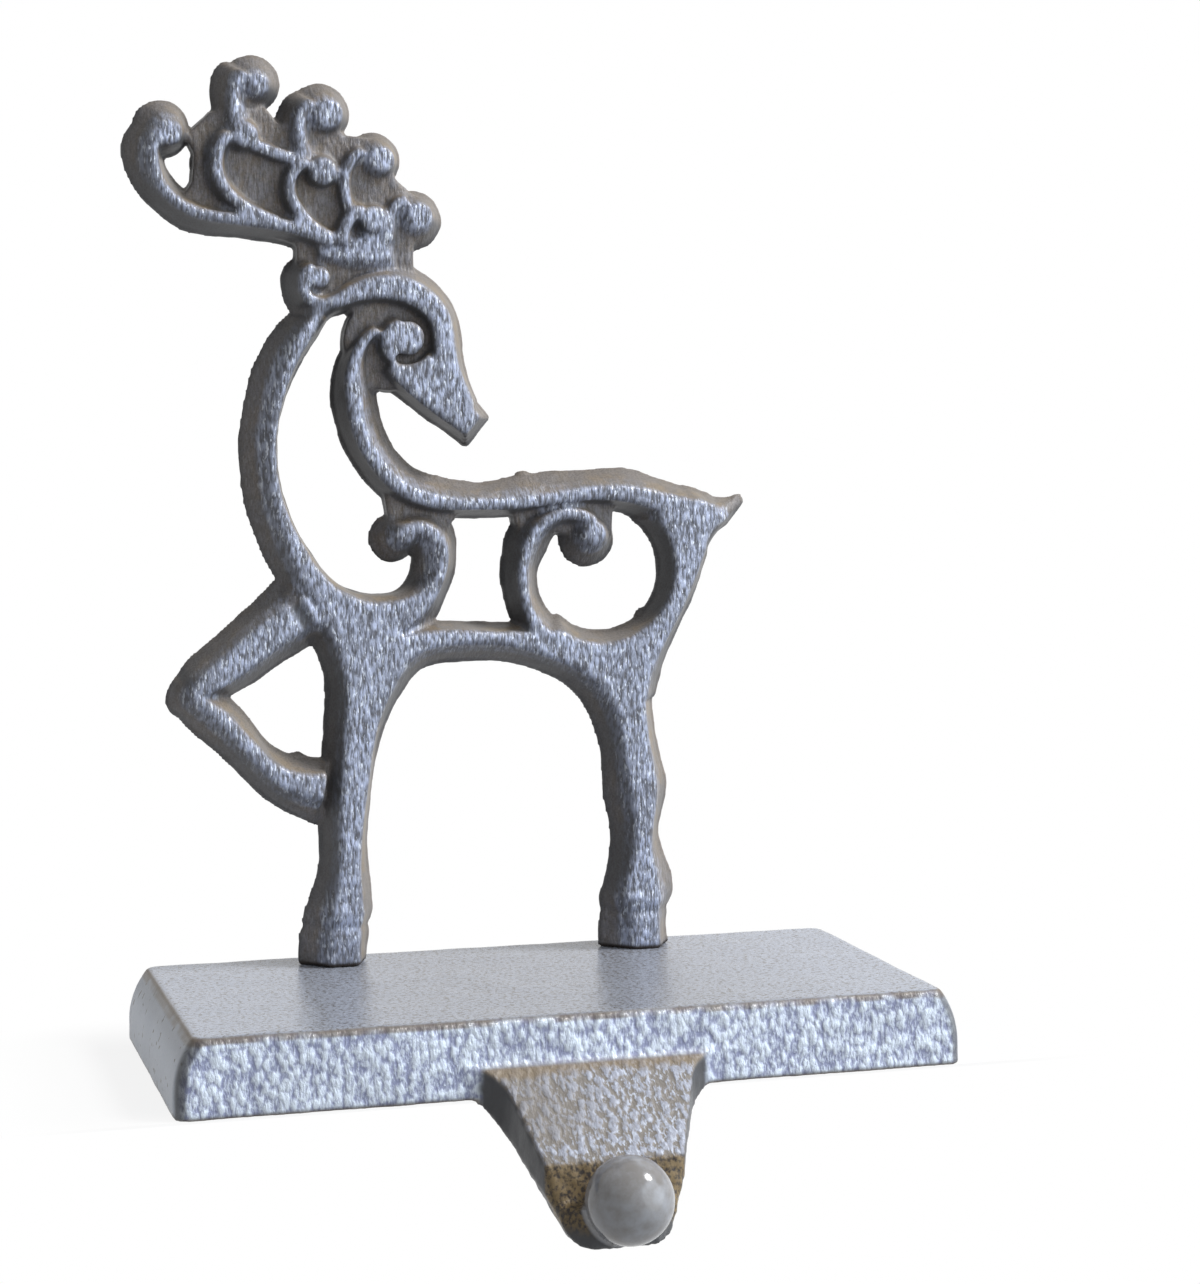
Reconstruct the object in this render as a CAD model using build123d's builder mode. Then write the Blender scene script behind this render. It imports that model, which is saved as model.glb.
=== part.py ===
from build123d import *
import os

# Base block
base_length = 141.0          # along the shelf, at the underside
base_end_inset = 3.5         # each end curves in this far at the top
base_depth = 64.3            # front to back, at the underside
base_face_lean = 1.0         # the front and the back lean in this far at the top
base_height = 13.6
base_shoulder_level = 4.0    # the ends stand upright below it and curve in above it
base_corner_radius = 2.6     # upright corners
base_edge_radius = 1.3       # round the top face
base_wall = 5.0              # round the hollow underside
base_top_wall = 5.2          # over the hollow underside
hollow_corner_radius = 4.0
hollow_draft = 5.0           # degrees
rib_width = 7.0              # rib across the hollow, behind the hook

# Hook: a tongue in front of the base that ends in a trough and a ball
tongue_root_level = 6.2      # where its upper face leaves the base
tongue_root_left = 16.0      # half widths where its sides meet the base
tongue_root_right = 19.8
tongue_root_radius = 8.0     # where its sides run into the base
tongue_thickness = 7.2
tongue_embed = 2.0           # overlap with the base block
fold_reach = 17.4            # from the base's front edge forward to the fold
fold_level = -7.0
fold_width = 24.3
fold_radius = 2.0
trough_reach = 20.0          # foot of the wall below the fold
trough_level = -13.2
trough_radius = 2.0
shoulder_reach = 21.4        # where the tip starts to narrow
shoulder_width = 19.6
tip_width = 11.0
tip_shift = -0.6             # the tip's sides stand this far off the middle
hook_sweep_left = 18.6       # half widths where its sides sweep out to the base's underside
hook_sweep_right = 21.4
hook_sweep_radius = 6.0
hook_flank_width = 28.8      # between its sides at the level of the fold
hook_bottom_level = -19.6
hook_bottom_width = 16.4
hook_bottom_radius = 3.5     # along the sides of its underside
hook_heel_radius = 5.0
ball_radius = 7.4
ball_reach = 25.4
ball_level = -11.7

# Figure: drawn on squares, with its soles on the base
square = 1.0                 # side of one square of the drawing
sole_level = 13.6            # height of the soles on the drawing
sole_trim = 2.0              # the legs are drawn this far past the soles and cut flat there
figure_thickness = 11.0
figure_back_gap = 0.2        # from the figure's back to the rear edge of the flat top
fore_hoof_x = -32.0
hind_hoof_x = 27.0
rear_antler_height = 4.6     # the rear antler stands this far from the middle plane
crown_height = 4.3
web_height = 2.3             # thin floor between the scrolls
cheek_groove_depth = 3.2

# Screws that hold the figure
screw_diameter = 5.0
screw_grip = 12.0            # length inside the hoof
screw_hole_clearance = 0.5
screw_end_clearance = 1.0
screw_head_diameter = 9.0
screw_head_clearance = 1.0
screw_head_height = 3.0
screw_head_bevel = 1.0
screw_cross_length = 5.0
screw_cross_width = 1.1
screw_cross_depth = 1.6
boss_diameter = 13.0
boss_level = 4.6             # the bosses end this far above the underside

base_top_length = base_length - 2 * base_end_inset
base_top_depth = base_depth - 2 * base_face_lean
half_thickness = figure_thickness / 2
figure_y = base_top_depth / 2 - base_edge_radius - figure_back_gap - half_thickness
figure_plane = Plane(
    origin=(0, figure_y, base_height - sole_level * square), x_dir=(1, 0, 0), z_dir=(0, -1, 0)
)
front_y = -base_depth / 2
hoof_places = ((fore_hoof_x * square, figure_y), (hind_hoof_x * square, figure_y))

# Scrolls of the figure, as stations along each path on the drawing:
# x, height, half width of the flat ridge, slope to the left of the path, slope to its right
neck_scroll = (
    (-34.8, 134.2, 0.8, 1.5, 2.6),
    (-38.3, 130.0, 1.0, 1.5, 3.8),
    (-42.6, 120.0, 0.6, 1.1, 5.0),
    (-44.2, 108.0, 0.5, 0.9, 5.1),
    (-43.0, 99.5, 0.7, 1.0, 4.8),
    (-39.0, 89.4, 1.5, 1.1, 3.9),
    (-33.5, 82.0, 2.2, 1.1, 3.5),
    (-26.0, 78.3, 2.9, 1.4, 3.5),
    (-19.3, 79.6, 2.3, 1.4, 4.5),
    (-14.4, 83.8, 0.9, 3.6, 3.0),
    (-12.3, 89.5, 0.6, 4.5, 2.9),
    (-13.8, 93.8, 0.7, 4.0, 3.6),
    (-17.0, 95.3, 0.8, 3.5, 2.5),
    (-19.3, 94.5, 1.0, 2.5, 2.5),
)
back_scroll = (
    (-24.5, 131.8, 0.6, 1.5, 0.8),
    (-27.8, 128.8, 0.8, 2.0, 0.8),
    (-29.3, 124.5, 1.0, 3.2, 1.5),
    (-29.2, 119.0, 1.2, 4.1, 2.0),
    (-28.0, 112.8, 1.1, 4.2, 2.0),
    (-25.0, 107.2, 1.0, 4.1, 2.0),
    (-20.5, 102.6, 1.0, 4.0, 2.0),
    (-14.0, 100.1, 1.0, 3.8, 1.8),
    (-5.0, 99.4, 0.9, 3.1, 1.7),
    (5.0, 99.9, 0.9, 4.2, 1.7),
    (15.0, 101.2, 1.0, 3.3, 1.8),
    (24.0, 101.0, 1.3, 3.5, 2.4),
    (33.0, 98.8, 1.8, 2.4, 3.0),
    (41.0, 97.2, 1.6, 2.2, 1.6),
)
standing_legs = (
    (-31.8, sole_level - sole_trim, 3.2, 4.4, 2.4),
    (-31.2, 20.0, 2.4, 5.4, 2.6),
    (-30.8, 25.5, 2.4, 4.4, 2.9),
    (-30.6, 32.0, 1.8, 3.3, 2.6),
    (-30.2, 40.0, 2.0, 3.3, 2.1),
    (-29.2, 50.0, 2.4, 3.3, 1.7),
    (-28.0, 60.0, 3.1, 3.2, 2.5),
    (-25.2, 68.0, 3.7, 3.2, 3.2),
    (-18.5, 73.4, 1.9, 1.8, 3.9),
    (-8.0, 74.7, 1.1, 1.5, 3.7),
    (0.0, 74.2, 1.1, 1.5, 3.7),
    (8.7, 72.9, 2.4, 2.8, 3.3),
    (17.7, 70.3, 4.1, 3.5, 3.6),
    (23.4, 62.0, 3.1, 3.3, 4.0),
    (25.2, 53.0, 2.4, 3.0, 3.6),
    (26.7, 44.0, 2.4, 3.5, 4.3),
    (26.5, 34.5, 1.5, 3.1, 3.5),
    (26.4, 25.2, 3.0, 4.6, 3.7),
    (26.8, 20.5, 2.6, 3.7, 5.1),
    (27.6, sole_level - sole_trim, 2.8, 3.8, 5.6),
)
chest = (
    (-38.5, 88.0, 1.5, 0.5, 4.3),
    (-33.0, 81.5, 2.8, 0.8, 4.9),
    (-27.0, 75.0, 6.0, 1.5, 3.2),
    (-27.2, 67.5, 4.0, 2.6, 3.2),
    (-28.0, 60.0, 3.1, 2.5, 3.2),
)
rump = (
    (41.6, 96.8, 1.6, 2.1, 2.5),
    (36.0, 95.2, 5.0, 2.4, 3.0),
    (32.4, 88.8, 5.4, 2.6, 3.0),
    (31.6, 81.5, 3.4, 2.4, 3.0),
    (26.8, 75.6, 4.9, 2.8, 3.0),
    (23.8, 69.6, 4.9, 3.4, 3.0),
    (23.9, 62.0, 3.2, 3.2, 3.5),
)
tail = (
    (34.5, 93.1, 3.0, 5.0, 3.0),
    (38.2, 95.0, 2.4, 3.0, 2.6),
    (41.8, 96.8, 1.5, -0.2, -1.0),
)
tail_reach = 7.2
raised_thigh = (
    (-37.0, 80.5, 2.6, 4.8, 6.0),
    (-47.5, 73.9, 2.4, 3.5, 3.4),
    (-54.0, 69.0, 2.0, 3.1, 3.4),
    (-59.0, 66.0, 1.0, 2.6, 3.6),
)
raised_shin = (
    (-58.6, 64.2, 0.8, 3.0, 3.8),
    (-54.3, 61.1, 1.0, 2.9, 4.4),
    (-50.0, 56.5, 1.1, 2.2, 3.7),
    (-46.3, 52.3, 1.2, 2.2, 3.5),
    (-41.5, 48.8, 1.6, 3.0, 3.8),
    (-35.0, 47.8, 2.2, 2.2, 5.8),
)
flank_scroll = (
    (7.5, 73.5, 1.6, 1.0, 3.2),
    (4.6, 78.0, 0.8, 1.9, 3.3),
    (3.0, 83.0, 0.6, 2.3, 3.3),
    (2.9, 88.0, 0.6, 2.5, 3.7),
    (4.6, 93.2, 0.6, 3.1, 4.4),
    (9.0, 97.0, 0.7, 2.4, 3.0),
    (14.0, 97.3, 0.8, 2.0, 2.4),
    (16.8, 95.6, 0.9, 2.0, 2.4),
)
forehead = (
    (-36.2, 143.2, 0.5, 0.8, 2.0),
    (-38.2, 141.0, 0.7, 1.0, 2.5),
    (-38.2, 138.8, 0.8, 1.0, 2.5),
    (-36.6, 136.7, 0.9, 1.0, 2.6),
    (-34.2, 136.1, 1.0, 1.0, 1.7),
    (-30.5, 137.6, 1.3, 1.2, 1.5),
    (-26.5, 139.0, 1.7, 2.0, 1.6),
    (-21.5, 139.3, 2.0, 3.2, 1.5),
    (-16.5, 137.6, 1.9, 2.8, 1.5),
    (-13.3, 134.5, 1.7, 2.7, 1.5),
    (-12.1, 130.0, 1.7, 2.6, 1.4),
    (-11.6, 125.0, 2.0, 2.2, 2.0),
    (-9.8, 120.0, 2.2, 1.9, 2.0),
    (-8.2, 117.0, 2.0, 1.8, 1.5),
)
snout = (
    (-20.2, 127.0, 3.6, 1.5, 2.2),
    (-17.0, 123.5, 3.7, 2.0, 1.3),
    (-12.5, 119.2, 3.1, 2.2, 1.2),
    (-8.6, 115.6, 2.4, 2.3, 1.0),
    (-6.9, 114.1, 2.1, 2.0, 1.0),
)
muzzle_reach = 2.6
crown = (
    (-35.4, 146.4, 0.9, 2.0, 3.4),
    (-28.0, 146.3, 1.9, 2.5, 4.6),
    (-22.4, 146.6, 1.9, 2.4, 4.4),
)
crown_reach = 3.6
front_tines = (
    (
        (-33.0, 147.2, 0.9, 1.6, 1.5),
        (-40.0, 150.0, 0.9, 2.3, 1.6),
        (-50.0, 151.3, 0.8, 2.3, 1.7),
        (-58.0, 152.5, 0.8, 2.6, 2.2),
        (-62.6, 155.5, 0.7, 2.6, 2.4),
        (-64.8, 160.0, 0.7, 3.9, 1.8),
        (-65.0, 164.0, 0.7, 4.5, 1.6),
        (-63.8, 166.5, 0.7, 3.8, 1.0),
    ),
    (
        (-43.0, 151.0, 0.8, 1.5, 1.5),
        (-48.0, 153.0, 0.8, 1.8, 1.8),
        (-51.8, 156.0, 0.7, 2.6, 2.0),
        (-53.7, 160.0, 0.7, 3.2, 2.0),
        (-53.2, 164.0, 0.7, 3.2, 2.0),
        (-51.2, 166.2, 0.8, 2.6, 1.5),
    ),
    (
        (-33.5, 148.3, 0.9, 1.8, 1.5),
        (-37.0, 150.6, 0.9, 2.0, 1.5),
        (-39.6, 153.9, 0.8, 2.2, 1.6),
        (-40.6, 157.3, 0.7, 2.2, 1.8),
        (-39.5, 160.3, 0.7, 2.0, 1.5),
        (-37.0, 161.8, 0.8, 1.6, 1.5),
    ),
    (
        (-31.3, 147.0, 0.8, 1.6, 1.5),
        (-30.4, 150.3, 0.8, 1.8, 1.5),
        (-28.8, 152.6, 0.8, 1.8, 1.5),
        (-26.8, 153.4, 0.8, 1.6, 1.5),
    ),
)
rear_tines = (
    (
        (-50.2, 166.5, 0.8, 3.8, 4.2),
        (-50.4, 171.5, 0.6, 3.0, 4.6),
        (-50.0, 175.3, 0.6, 3.5, 2.0),
        (-48.4, 177.6, 0.6, 3.0, 1.2),
    ),
    (
        (-38.0, 163.0, 0.7, 2.5, 3.0),
        (-38.6, 167.3, 0.6, 3.3, 3.0),
        (-38.0, 170.8, 0.6, 3.0, 2.0),
        (-36.2, 172.6, 0.7, 2.4, 1.2),
    ),
    (
        (-29.6, 153.5, 0.7, 1.5, 2.0),
        (-30.4, 157.5, 0.7, 1.8, 2.0),
        (-29.6, 161.5, 0.6, 2.0, 2.0),
        (-26.8, 164.2, 0.7, 2.0, 1.2),
    ),
    (
        (-22.6, 148.0, 0.8, 1.8, 2.5),
        (-22.0, 152.3, 0.7, 1.8, 2.0),
        (-20.6, 154.6, 0.7, 1.8, 1.5),
        (-18.6, 155.2, 0.8, 1.8, 1.2),
    ),
)
tine_link = (
    (-47.0, 164.6, 0.9, 1.5, 1.5),
    (-43.5, 163.4, 0.9, 1.5, 1.5),
    (-40.0, 162.4, 0.9, 1.5, 1.5),
)

# Beads at the scroll ends: x, height and radius at the middle plane, then at the front
front_beads = (
    (-63.3, 167.3, 5.1, -62.0, 166.2, 1.9),
    (-48.9, 166.4, 4.0, -48.6, 166.3, 2.1),
    (-34.6, 160.3, 3.9, -34.5, 160.2, 2.3),
    (-25.0, 151.6, 3.8, -25.0, 151.7, 2.3),
    (-35.3, 141.0, 2.9, -35.3, 141.1, 1.8),
    (-21.3, 93.1, 4.5, -19.4, 94.2, 1.5),
    (16.4, 92.7, 5.4, 16.8, 93.8, 1.9),
    (-60.0, 64.8, 4.3, -58.8, 65.2, 1.2),
)
rear_beads = (
    (-46.8, 175.9, 5.1, -46.0, 175.4, 1.6),
    (-34.3, 170.9, 5.5, -33.1, 170.6, 2.3),
    (-24.5, 162.7, 5.0, -23.4, 162.6, 2.1),
    (-17.0, 151.9, 5.4, -16.4, 152.5, 2.2),
)
cheek = (-19.8, 129.3, 5.8, -19.6, 129.3, 4.2)
cheek_groove = (-19.0, 130.2, 4.0, 1.8)     # x, height, radius and width of the groove on the cheek
cheek_groove_start = -110.0
cheek_groove_turn = 210.0

# Thin floors between the scrolls
antler_floor = (
    (-39.0, 147.0), (-50.0, 150.0), (-60.0, 154.6), (-57.8, 158.0), (-57.4, 163.0), (-59.0, 166.0),
    (-54.5, 170.5), (-44.5, 171.5), (-42.0, 168.6), (-38.0, 170.0), (-29.5, 167.0), (-25.0, 166.5),
    (-20.2, 159.0), (-16.5, 156.0), (-17.2, 145.0), (-17.0, 142.0), (-30.0, 138.0), (-37.0, 138.0),
    (-39.0, 143.0),
)
curl_floor = ((-23.0, 101.5), (-9.5, 101.0), (-9.5, 96.5), (-13.0, 94.0), (-22.0, 95.0))
flank_floor = ((1.5, 100.5), (21.6, 101.5), (21.2, 93.0), (8.0, 94.0), (2.0, 95.5))
head_floor = (-21.6, 129.4, 8.9)            # x, height and radius
flank_ring = (19.1, 86.5, 11.6, 18.6, 87.2, 14.4)


def bar_outline(stations, spread, end_reach):
    """Outline of a bar on the drawing: spread 0 is its ridge, spread 1 its foot at the middle plane."""
    points = [Vector(x, z) * square for x, z, *_ in stations]
    left, right = [], []
    for i, (half_ridge, left_slope, right_slope) in enumerate(station[2:] for station in stations):
        before = points[max(i - 1, 0)]
        after = points[min(i + 1, len(points) - 1)]
        along = (after - before).normalized() * square
        across = Vector(-along.Y, along.X)
        middle = points[i]
        if i == len(points) - 1:
            middle += along * end_reach * spread
        left.append(middle + across * (half_ridge + left_slope * spread))
        right.append(middle - across * (half_ridge + right_slope * spread))
    with BuildLine() as outline:
        left_edge = Spline(*left)
        right_edge = Spline(*right)
        Line(left_edge @ 0, right_edge @ 0)
        Line(left_edge @ 1, right_edge @ 1)
    return outline.line


def bar(stations, height=half_thickness, end_reach=0.0):
    """Front half of a bar: a flat ridge with sloping sides that run out to the middle plane."""
    with BuildSketch(figure_plane) as foot:
        add(bar_outline(stations, 1, end_reach))
        make_face()
    with BuildSketch(figure_plane.offset(height)) as ridge:
        add(bar_outline(stations, 0, end_reach))
        make_face()
    loft(sections=[foot.sketch, ridge.sketch], ruled=True)


def bead(sizes, height=half_thickness, mode=Mode.ADD):
    """Front half of a bead: a leaning cone from the middle plane to a small flat front."""
    foot_x, foot_z, foot_radius, top_x, top_z, top_radius = (size * square for size in sizes)
    with BuildSketch(figure_plane) as foot:
        with Locations((foot_x, foot_z)):
            Circle(foot_radius)
    with BuildSketch(figure_plane.offset(height)) as top:
        with Locations((top_x, top_z)):
            Circle(top_radius)
    loft(sections=[foot.sketch, top.sketch], ruled=True, mode=mode)


def floor(corners):
    """Front half of a thin floor between scrolls."""
    with BuildSketch(figure_plane) as outline:
        with BuildLine():
            Polyline([Vector(x, z) * square for x, z in corners], close=True)
        make_face()
    extrude(outline.sketch, amount=web_height)


# The cast figure: its front half, then the same half mirrored in the middle plane
with BuildPart() as front_half:
    bar(standing_legs)
    bar(chest)
    bar(rump)
    bar(tail, end_reach=tail_reach)
    bead(flank_ring, mode=Mode.SUBTRACT)
    bar(neck_scroll)
    bar(back_scroll)
    bar(flank_scroll)
    bar(raised_thigh)
    bar(raised_shin)
    floor(curl_floor)
    floor(flank_floor)
    with BuildSketch(figure_plane) as head_disc:
        with Locations((head_floor[0] * square, head_floor[1] * square)):
            Circle(head_floor[2] * square)
    extrude(head_disc.sketch, amount=web_height)
    bar(forehead)
    bar(snout, end_reach=muzzle_reach)
    bead(cheek)
    bar(crown, height=crown_height, end_reach=crown_reach)
    floor(antler_floor)
    for tine in rear_tines:
        bar(tine, height=rear_antler_height)
    for sizes in rear_beads:
        bead(sizes, height=rear_antler_height)
    for tine in front_tines:
        bar(tine)
    bar(tine_link, height=rear_antler_height)
    for sizes in front_beads:
        bead(sizes)
    groove_x, groove_z, groove_radius, groove_width = (size * square for size in cheek_groove)
    with BuildLine(mode=Mode.PRIVATE) as groove_path:
        CenterArc((groove_x, groove_z), groove_radius, cheek_groove_start, cheek_groove_turn)
    with BuildSketch(figure_plane.offset(half_thickness)) as groove:
        SlotArc(groove_path.edge(), groove_width)
    extrude(groove.sketch, amount=-cheek_groove_depth, mode=Mode.SUBTRACT)

with BuildPart() as deer_figure:
    add(front_half.part)
    mirror(front_half.part, about=figure_plane)
    split(bisect_by=Plane.XY.offset(base_height), keep=Keep.TOP)
    with Locations([Location((x, y, base_height)) for x, y in hoof_places]):
        Cylinder(
            screw_diameter / 2, screw_grip + screw_end_clearance,
            align=(Align.CENTER, Align.CENTER, Align.MIN), mode=Mode.SUBTRACT,
        )

# The hook: its side view cut to its plan, with a ball at the end
with BuildPart() as hook:
    face_slope = base_face_lean / base_height
    root_top = Vector(front_y + face_slope * tongue_root_level, tongue_root_level)
    flare_y = front_y + face_slope * tongue_root_level / 2
    fold = Vector(front_y - fold_reach, fold_level)
    down_tongue = (fold - root_top).normalized()
    through_tongue = Vector(-down_tongue.Y, down_tongue.X) * tongue_thickness
    under_fold = fold + through_tongue
    under_root = under_fold + down_tongue * ((front_y - under_fold.X) / down_tongue.X)
    inner_root = root_top - down_tongue * (tongue_embed / abs(down_tongue.X))
    heel_drop = under_fold.Y - hook_bottom_level
    ball_y = front_y - ball_reach
    with BuildSketch(Plane.YZ):
        with BuildLine():
            FilletPolyline(
                inner_root, fold, (front_y - trough_reach, trough_level), (ball_y, trough_level),
                (ball_y, hook_bottom_level), (under_fold.X - heel_drop, hook_bottom_level),
                under_fold, under_root, (front_y, 0), (inner_root.X, 0),
                radius=[0, fold_radius, trough_radius, 0, 0, hook_heel_radius, 0, 0, 0, 0], close=True,
            )
        make_face()
    extrude(amount=base_length / 2, both=True)
    with BuildSketch(Plane.XY.offset(hook_bottom_level)):
        with BuildLine():
            for side, root in ((-1, tongue_root_left), (1, tongue_root_right)):
                FilletPolyline(
                    (0, inner_root.X), (side * root, inner_root.X),
                    (side * (root + tongue_root_radius), flare_y), (side * root, flare_y),
                    (side * fold_width / 2, fold.X),
                    (tip_shift + side * shoulder_width / 2, front_y - shoulder_reach),
                    (tip_shift + side * tip_width / 2, ball_y), (0, ball_y),
                    radius=[0, 0, tongue_root_radius, 0, 0, 0],
                )
        make_face()
    extrude(amount=base_height - hook_bottom_level, mode=Mode.INTERSECT)
    with BuildSketch(Plane.XZ):
        with BuildLine():
            for side, sweep in ((-1, hook_sweep_left), (1, hook_sweep_right)):
                FilletPolyline(
                    (0, base_height), (side * base_length / 2, base_height), (side * base_length / 2, 0),
                    (side * sweep, 0), (side * hook_flank_width / 2, fold_level),
                    (tip_shift + side * hook_bottom_width / 2, hook_bottom_level), (0, hook_bottom_level),
                    radius=[0, 0, hook_sweep_radius, 0, hook_bottom_radius],
                )
        make_face()
    extrude(amount=base_depth, both=True, mode=Mode.INTERSECT)
    with Locations((0, ball_y, ball_level)):
        Sphere(ball_radius)

# The base block: convex ends one way, a slight draft the other way
with BuildPart() as base_with_hook:
    with BuildSketch(Plane.XZ) as long_section:
        with BuildLine():
            feet, tops = [], []
            for side in (-1, 1):
                upright = Line((side * base_length / 2, 0), (side * base_length / 2, base_shoulder_level))
                shoulder = TangentArc(upright @ 1, (side * base_top_length / 2, base_height), tangent=(0, 1))
                feet.append(upright @ 0)
                tops.append(shoulder @ 1)
            Line(feet)
            Line(tops)
        make_face()
    extrude(amount=base_depth, both=True)
    with BuildSketch(Plane.YZ) as cross_section:
        with BuildLine():
            Polyline(
                (-base_depth / 2, 0), (base_depth / 2, 0), (base_top_depth / 2, base_height),
                (-base_top_depth / 2, base_height), close=True,
            )
        make_face()
    extrude(amount=base_length, both=True, mode=Mode.INTERSECT)
    top_face = base_with_hook.faces().sort_by(Axis.Z)[-1]
    bottom_face = base_with_hook.faces().sort_by(Axis.Z)[0]
    flat_edges = top_face.edges() + bottom_face.edges()
    side_edges = base_with_hook.edges().filter_by(Axis.Y, reverse=True)
    fillet([edge for edge in side_edges if edge not in flat_edges], base_corner_radius)
    fillet(base_with_hook.faces().sort_by(Axis.Z)[-1].edges(), base_edge_radius)

    # Hollow underside in two halves beside the rib, with a boss over each screw
    hollow_length = (base_length - rib_width) / 2 - base_wall
    hollow_x = (rib_width + hollow_length) / 2
    with BuildSketch(Plane.XY):
        with Locations((-hollow_x, 0), (hollow_x, 0)):
            RectangleRounded(hollow_length, base_depth - 2 * base_wall, hollow_corner_radius)
    extrude(amount=base_height - base_top_wall, taper=hollow_draft, mode=Mode.SUBTRACT)
    with BuildSketch(Plane.XY.offset(boss_level)):
        with Locations(*hoof_places):
            Circle(boss_diameter / 2)
    extrude(amount=base_height - base_top_wall / 2 - boss_level)
    with BuildSketch(Plane.XY):
        with Locations(*hoof_places):
            Circle((screw_diameter + screw_hole_clearance) / 2)
    extrude(amount=base_height, mode=Mode.SUBTRACT)
    with BuildSketch(Plane.XY):
        with Locations(*hoof_places):
            Circle((screw_head_diameter + screw_head_clearance) / 2)
    extrude(amount=boss_level, mode=Mode.SUBTRACT)
    add(hook.part)

# Two pan-head screws with a cross recess, driven up through the bosses
with BuildPart() as figure_screws:
    with BuildSketch(Plane.XY.offset(boss_level - screw_head_height)):
        with Locations(*hoof_places):
            Circle(screw_head_diameter / 2)
    extrude(amount=screw_head_height)
    chamfer(figure_screws.faces().group_by(Axis.Z)[0].edges(), screw_head_bevel)
    with BuildSketch(Plane.XY.offset(boss_level - screw_head_height)):
        with Locations(*hoof_places):
            Rectangle(screw_cross_length, screw_cross_width)
            Rectangle(screw_cross_width, screw_cross_length)
    extrude(amount=screw_cross_depth, mode=Mode.SUBTRACT)
    with BuildSketch(Plane.XY.offset(boss_level)):
        with Locations(*hoof_places):
            Circle(screw_diameter / 2)
    extrude(amount=base_height + screw_grip - boss_level)

os.makedirs("parts", exist_ok=True)
pieces = {"deer_figure": deer_figure, "base_with_hook": base_with_hook, "figure_screws": figure_screws}
for name, piece in pieces.items():
    piece.part.label = name
    export_step(piece.part, f"parts/{name}.step")
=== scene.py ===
import math

import bmesh
import bpy
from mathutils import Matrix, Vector


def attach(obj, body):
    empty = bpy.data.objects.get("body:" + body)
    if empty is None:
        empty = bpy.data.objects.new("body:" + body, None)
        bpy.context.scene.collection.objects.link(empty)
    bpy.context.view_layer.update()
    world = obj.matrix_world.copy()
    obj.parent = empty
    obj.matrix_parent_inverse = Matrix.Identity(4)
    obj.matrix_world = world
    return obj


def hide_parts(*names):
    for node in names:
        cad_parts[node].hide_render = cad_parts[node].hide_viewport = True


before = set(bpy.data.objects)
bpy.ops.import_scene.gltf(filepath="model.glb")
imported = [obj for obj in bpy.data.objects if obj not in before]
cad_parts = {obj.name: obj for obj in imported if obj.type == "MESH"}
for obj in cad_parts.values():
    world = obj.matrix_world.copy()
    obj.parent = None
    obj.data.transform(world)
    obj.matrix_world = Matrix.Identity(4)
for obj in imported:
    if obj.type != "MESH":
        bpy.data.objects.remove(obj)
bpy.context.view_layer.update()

MM = 0.001

# Places on the part
BALL_PLACE = (0.0, -57.55 * MM, -11.7 * MM)
BALL_RADIUS = 7.4 * MM
BASE_FRONT = -32.15 * MM
BASE_TOP = 13.6 * MM
HOLLOW_HALF_LENGTH = 66.5 * MM
HOLLOW_HALF_DEPTH = 28.3 * MM
FIGURE_MIDDLE = 24.15 * MM

# Meshes of the castings
DEER_VOXEL = 0.565 * MM
BASE_VOXEL = 0.6 * MM
MERGE_DISTANCE = 0.002 * MM
EVEN_ROUNDS = 5
SOFTEN_ROUNDS = 2
MASK_ROUNDS = 2

# Skin of the castings
FIGURE_PEBBLE = 1.0 * MM
BASE_PEBBLE = 1.25 * MM
PEBBLE_STRETCH = 1.8
PARTING_REACH = 1.1 * MM
FLASH_WIDTH = 6.5 * MM

# Small forms of the figure: X and Z of a place, or its height above the shelf
BURRS = ((4.0 * MM, 104.8 * MM), (27.2 * MM, 78.2 * MM), (-39.6 * MM, 52.4 * MM))
BURR_HEIGHT = 0.7 * MM
HOOF_CREASE = 20.8 * MM
CREASE_REACH = 1.1 * MM
FETLOCK = 23.6 * MM
FETLOCK_REACH = 2.4 * MM
THIGH_GROOVE = ((-42.0 * MM, 84.0 * MM), (-35.0 * MM, 72.5 * MM))
GROOVE_DEPTH = 0.8 * MM

# Joints of the figure that run softly into each other: X, Z, and where the softening starts and ends to fade
SOFT_JOINTS = (
    (-62.5 * MM, 67.2 * MM, 2.0 * MM, 6.0 * MM),
    (44.0 * MM, 99.6 * MM, 1.5 * MM, 4.0 * MM),
    (41.9 * MM, 92.6 * MM, 1.5 * MM, 4.0 * MM),
    (-34.5 * MM, 133.9 * MM, 1.5 * MM, 4.0 * MM),
)
SOFT_ROUNDS = 32

# Lacquer, rubbed silver and zinc, with colours for painted light, shade, reflection and glints
COAT = (0.108, 0.110, 0.116, 1.0)
# Partly dust, partly painted light on slopes that face up and to the right
LIT_UPPER_COAT = (0.235, 0.210, 0.190, 1.0)
SEAT_BROWN = (0.270, 0.200, 0.110, 1.0)
# Also painted shade along the sole
EDGE_BROWN = (0.190, 0.150, 0.112, 1.0)
RECESS_GOLD = (0.310, 0.235, 0.145, 1.0)
# Pits and specks, and painted shade in the gap under the hooves
PIT_AND_SHADE_BROWN = (0.060, 0.050, 0.045, 1.0)
# The silver and blue of the fronts are partly painted reflection of the light in front
FIGURE_GAP = (0.165, 0.168, 0.190, 1.0)
FIGURE_SILVER = (0.50, 0.56, 0.74, 1.0)
BASE_GAP = (0.390, 0.425, 0.640, 1.0)
BASE_SILVER = (0.79, 0.880, 1.0, 1.0)
TONGUE_GAP = (0.275, 0.250, 0.225, 1.0)
TONGUE_GOLD = (0.290, 0.225, 0.150, 1.0)
TONGUE_SILVER = (0.43, 0.45, 0.53, 1.0)
# Painted glints
GLINT = (0.80, 0.86, 0.98, 1.0)
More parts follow.
